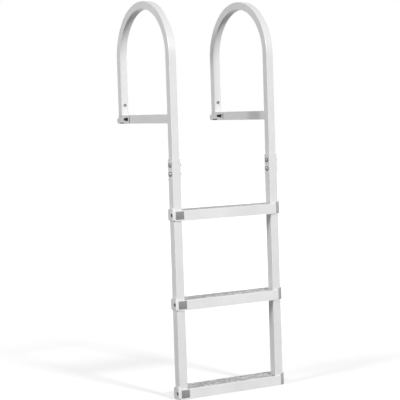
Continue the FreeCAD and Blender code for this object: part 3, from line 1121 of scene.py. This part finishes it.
def stage_material(setup):
    """Pale floor: white where it is seen, with the object's shadow near its foot.

    The seen floor glows more with the distance from the middle, where the lamps reach it less.
    """
    material = bpy.data.materials.new("Pale floor")
    material.use_nodes = True
    tree = material.node_tree
    tree.nodes.clear()
    output = tree.nodes.new("ShaderNodeOutputMaterial")
    both = tree.nodes.new("ShaderNodeAddShader")
    plain = tree.nodes.new("ShaderNodeBsdfDiffuse")
    white = tree.nodes.new("ShaderNodeEmission")
    seen = seen_directly(tree)
    grey = between(tree, seen, setup.floor_light, setup.floor_seen)
    tree.links.new(grey, plain.inputs["Color"])
    place = tree.nodes.new("ShaderNodeTexCoord")
    away = tree.nodes.new("ShaderNodeVectorMath")
    away.operation = "LENGTH"
    tree.links.new(place.outputs["Object"], away.inputs[0])
    glow = between(tree, away.outputs["Value"], setup.glow, 1.0, setup.glow_start,
                   setup.glow_end)
    tree.links.new(combined(tree, "MULTIPLY", seen, glow), white.inputs["Strength"])
    tree.links.new(plain.outputs["BSDF"], both.inputs[0])
    tree.links.new(white.outputs["Emission"], both.inputs[1])
    tree.links.new(both.outputs["Shader"], output.inputs["Surface"])
    return material


def studio_world(strength):
    """White behind the object for the camera and in mirrors, softer as light on the object."""
    world = bpy.data.worlds.new("Studio")
    world.use_nodes = True
    bpy.context.scene.world = world
    tree = world.node_tree
    back = tree.nodes["Background"]
    back.inputs["Color"].default_value = (1.0, 1.0, 1.0, 1.0)
    tree.links.new(between(tree, seen_directly(tree), strength, 1.0), back.inputs["Strength"])


def far_lamp(name, place, size, power):
    """Round soft lamp, aimed at the middle of the ladder."""
    data = bpy.data.lights.new(name, "AREA")
    data.shape = "DISK"
    data.size = size
    data.energy = power
    lamp = placed(name, data)
    lamp.location = place
    centre = Vector((np.array(CAD_BOX[0]) + np.array(CAD_BOX[1])) / 2)
    lamp.rotation_euler = (centre - Vector(place)).to_track_quat("-Z", "Y").to_euler()


def photo_camera(setup):
    """Camera at the photograph's angle, from its yaw, pitch down and roll."""
    yaw, pitch, roll = setup.camera_turn
    data = bpy.data.cameras.new("Photo camera")
    data.sensor_width = 36.0
    data.lens = setup.camera_lens
    data.clip_end = 100.0
    camera = placed("Photo camera", data)
    turn = (Matrix.Rotation(-yaw, 4, "Z") @ Matrix.Rotation(math.pi / 2 - pitch, 4, "X")
            @ Matrix.Rotation(roll, 4, "Z"))
    camera.matrix_world = Matrix.Translation(setup.camera_place) @ turn
    bpy.context.scene.camera = camera


class LADDER_OT_stage(bpy.types.Operator):
    """Set up the floor, the surroundings, the lamps and the camera"""
    bl_idname = "ladder.stage"
    bl_label = "Stage"

    def execute(self, context):
        setup = context.scene.ladder_stage
        context.scene.view_settings.view_transform = "Standard"
        low = CAD_BOX[0][2] - setup.floor_gap
        reach = setup.floor_reach
        corners = [(-reach, -reach, low), (reach, -reach, low), (reach, reach, low),
                   (-reach, reach, low)]
        mesh = bpy.data.meshes.new("Floor")
        mesh.from_pydata(corners, [], [(0, 1, 2, 3)])
        mesh.materials.append(stage_material(setup))
        floor = placed("Floor", mesh)
        studio_world(setup.world)
        far_lamp("Front lamp", setup.front_place, setup.front_size, setup.front_power)
        far_lamp("Left lamp", setup.left_place, setup.left_size, setup.left_power)
        far_lamp("Back lamp", setup.back_place, setup.back_size, setup.back_power)
        photo_camera(setup)
        return {"FINISHED"}


PIECES = ("side_rails", "handrails", "deck_bars", "feet", "steps", "inlays", "end_caps",
          "joint_bolts", "cap_screws", "leg_screws")
SETTINGS = {"ladder_tubes": LadderTubes, "ladder_feet": LadderFeet, "ladder_edges": LadderEdges,
            "ladder_steps": LadderSteps, "ladder_fasteners": LadderFasteners,
            "ladder_finish": LadderFinish, "ladder_stage": LadderStage}


class LADDER_PT_panel(bpy.types.Panel):
    """Sidebar list of the ladder's settings and pieces"""
    bl_idname = "LADDER_PT_panel"
    bl_label = "Dock ladder"
    bl_space_type = "VIEW_3D"
    bl_region_type = "UI"
    bl_category = "Dock ladder"

    def draw(self, context):
        for name in SETTINGS:
            box = self.layout.box()
            group = getattr(context.scene, name)
            for key in group.__annotations__:
                box.prop(group, key)
        for name in PIECES + ("stage",):
            self.layout.operator("ladder." + name)


CLASSES = tuple(SETTINGS.values()) + (
    LADDER_OT_side_rails, LADDER_OT_handrails, LADDER_OT_deck_bars, LADDER_OT_feet,
    LADDER_OT_steps, LADDER_OT_inlays, LADDER_OT_end_caps, LADDER_OT_joint_bolts,
    LADDER_OT_cap_screws, LADDER_OT_leg_screws, LADDER_OT_stage, LADDER_PT_panel)


def register():
    for kind in CLASSES:
        bpy.utils.register_class(kind)
    for name, kind in SETTINGS.items():
        setattr(bpy.types.Scene, name, PointerProperty(type=kind))


def unregister():
    for name in SETTINGS:
        delattr(bpy.types.Scene, name)
    for kind in reversed(CLASSES):
        bpy.utils.unregister_class(kind)


def main():
    """Make every piece and the stage."""
    register()
    for name in PIECES + ("stage",):
        getattr(bpy.ops.ladder, name)()


if __name__ == "__main__":
    main()
